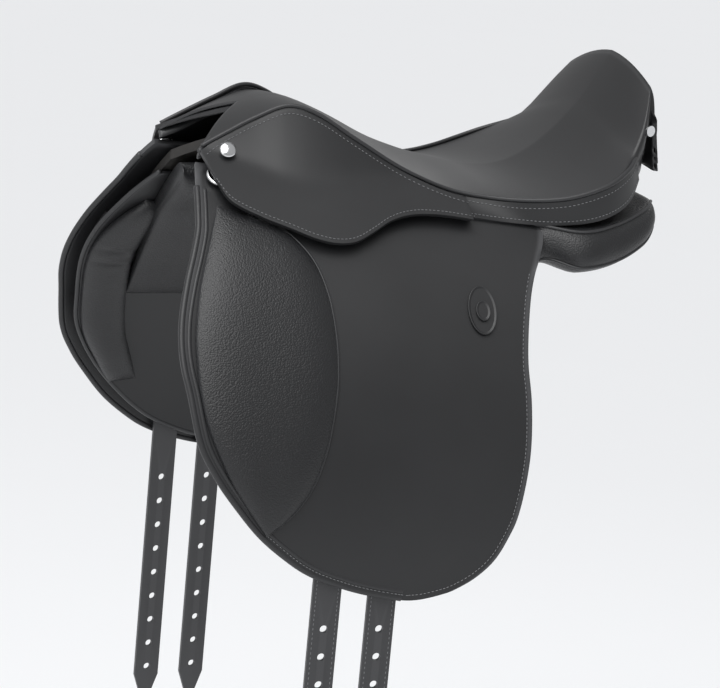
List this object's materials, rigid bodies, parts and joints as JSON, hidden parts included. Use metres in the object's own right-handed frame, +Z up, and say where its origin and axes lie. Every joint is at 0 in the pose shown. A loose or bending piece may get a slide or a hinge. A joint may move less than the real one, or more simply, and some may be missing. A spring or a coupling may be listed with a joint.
{
  "type": "english saddle",
  "caption": "English riding saddle with sprung tree, dished seat, knee pads, lifting flaps and skirts, recessed stirrup bars and girth straps.",
  "frame": {"origin": "on the centre plane, on the ridge line of the rack or horse's back that carries the saddle, mid-way along the seat", "axes": "+X towards the cantle, -Y towards the near side, +Z up"},
  "size_m": [0.4735, 0.523, 0.719],
  "materials": {
    "smooth_leather": "smooth, satin",
    "grain_leather": "pebble grain",
    "seat_leather": "fine grain, satin",
    "beech": "laminated",
    "steel": "brushed",
    "plated_metal": "polished",
    "webbing": "woven",
    "foam": "dense felted foam"
  },
  "bodies": {
    "saddle": {"near_flap_head": "smooth_leather", "near_skirt_band": "smooth_leather", "near_seat_welt": "smooth_leather", "near_nail": "plated_metal", "near_sweat_flap": "smooth_leather", "near_panel": "grain_leather", "near_panel_roll": "grain_leather", "near_knee_block": "foam", "near_thigh_block": "foam", "near_point_pocket": "smooth_leather", "near_strap_webs": "webbing", "near_stirrup_bar": "steel", "near_catch_pin": "steel", "off_flap_head": "smooth_leather", "off_skirt_band": "smooth_leather", "off_seat_welt": "smooth_leather", "off_nail": "plated_metal", "off_sweat_flap": "smooth_leather", "off_panel": "grain_leather", "off_panel_roll": "grain_leather", "off_knee_block": "foam", "off_thigh_block": "foam", "off_point_pocket": "smooth_leather", "off_strap_webs": "webbing", "off_stirrup_bar": "steel", "off_catch_pin": "steel", "tree_frame": "beech", "gullet_plate": "steel", "gullet_screws": "steel", "seat_webs": "webbing", "seat_foam": "foam", "seat_cover": "seat_leather", "cantle_back": "seat_leather", "head_binding": "smooth_leather", "cantle_nails": "plated_metal", "channel_lining": "smooth_leather", "frame_rivets": "steel"},
    "near_flap_body": {"near_flap": "smooth_leather", "near_knee_pad": "grain_leather", "near_flap_border": "smooth_leather", "near_leather_keeper": "smooth_leather"},
    "near_skirt_body": {"near_skirt": "smooth_leather"},
    "near_bar_catch_body": {"near_bar_catch": "steel"},
    "near_dee_body": {"near_dee_ring": "plated_metal", "near_dee_tab": "smooth_leather"},
    "near_front_strap_body": {"near_front_strap": "smooth_leather"},
    "near_rear_strap_body": {"near_rear_strap": "smooth_leather"},
    "near_buckle_guard_body": {"near_buckle_guard": "smooth_leather"},
    "off_flap_body": {"off_flap": "smooth_leather", "off_knee_pad": "grain_leather", "off_flap_border": "smooth_leather", "off_leather_keeper": "smooth_leather"},
    "off_skirt_body": {"off_skirt": "smooth_leather"},
    "off_bar_catch_body": {"off_bar_catch": "steel"},
    "off_dee_body": {"off_dee_ring": "plated_metal", "off_dee_tab": "smooth_leather"},
    "off_front_strap_body": {"off_front_strap": "smooth_leather"},
    "off_rear_strap_body": {"off_rear_strap": "smooth_leather"},
    "off_buckle_guard_body": {"off_buckle_guard": "smooth_leather"}
  },
  "joints": [
    {"name": "near_flap_lift", "type": "hinge", "parent": "saddle", "child": "near_flap_body", "pos_m": [-0.19921, -0.11094, 0.04], "axis": [-0.9698, 0.2095, 0.1252], "range_deg": [0, 50]},
    {"name": "off_flap_lift", "type": "hinge", "parent": "saddle", "child": "off_flap_body", "pos_m": [-0.19921, 0.11094, 0.04], "axis": [0.9698, 0.2095, -0.1252], "range_deg": [0, 50]},
    {"name": "near_skirt_lift", "type": "hinge", "parent": "saddle", "child": "near_skirt_body", "pos_m": [-0.18731, -0.08739, 0.076], "axis": [-0.9583, 0.2539, 0.131], "range_deg": [0, 75]},
    {"name": "off_skirt_lift", "type": "hinge", "parent": "saddle", "child": "off_skirt_body", "pos_m": [-0.18731, 0.08739, 0.076], "axis": [0.9583, 0.2539, -0.131], "range_deg": [0, 75]},
    {"name": "near_bar_catch_turn", "type": "hinge", "parent": "saddle", "child": "near_bar_catch_body", "pos_m": [-0.09749, -0.12151, 0.05], "axis": [-0.0545, -0.6396, 0.7668], "range_deg": [0, 40]},
    {"name": "off_bar_catch_turn", "type": "hinge", "parent": "saddle", "child": "off_bar_catch_body", "pos_m": [-0.09749, 0.12151, 0.05], "axis": [0.0545, -0.6396, -0.7668], "range_deg": [0, 40]},
    {"name": "near_dee_swing", "type": "hinge", "parent": "saddle", "child": "near_dee_body", "pos_m": [-0.16164, -0.08526, 0.07], "axis": [-0.0479, -0.5621, 0.8257], "range_deg": [-12, 12]},
    {"name": "off_dee_swing", "type": "hinge", "parent": "saddle", "child": "off_dee_body", "pos_m": [-0.16164, 0.08526, 0.07], "axis": [0.0479, -0.5621, -0.8257], "range_deg": [-12, 12]},
    {"name": "near_front_strap_swing", "type": "hinge", "parent": "saddle", "child": "near_front_strap_body", "pos_m": [-0.09842, -0.13841, 0.008], "axis": [-0.0614, -0.7212, 0.69], "range_deg": [-4, 4]},
    {"name": "off_front_strap_swing", "type": "hinge", "parent": "saddle", "child": "off_front_strap_body", "pos_m": [-0.09842, 0.13841, 0.008], "axis": [0.0614, -0.7212, -0.69], "range_deg": [-4, 4]},
    {"name": "near_rear_strap_swing", "type": "hinge", "parent": "saddle", "child": "near_rear_strap_body", "pos_m": [-0.04861, -0.14266, 0.008], "axis": [-0.0614, -0.7212, 0.69], "range_deg": [-4, 4]},
    {"name": "off_rear_strap_swing", "type": "hinge", "parent": "saddle", "child": "off_rear_strap_body", "pos_m": [-0.04861, 0.14266, 0.008], "axis": [0.0614, -0.7212, -0.69], "range_deg": [-4, 4]},
    {"name": "near_buckle_guard_slide", "type": "hinge", "parent": "near_front_strap_body", "child": "near_buckle_guard_body", "pos_m": [-0.05161, 0.11656, -0.238], "axis": [-0.9964, 0.0849, 0], "range_deg": [0, 8]},
    {"name": "off_buckle_guard_slide", "type": "hinge", "parent": "off_front_strap_body", "child": "off_buckle_guard_body", "pos_m": [-0.05161, -0.11656, -0.238], "axis": [0.9964, 0.0849, 0], "range_deg": [0, 8]}
  ],
  "couplings": [
    {"joint": "near_rear_strap_swing", "follows": "near_front_strap_swing", "ratio": 1},
    {"joint": "off_rear_strap_swing", "follows": "off_front_strap_swing", "ratio": 1}
  ]
}
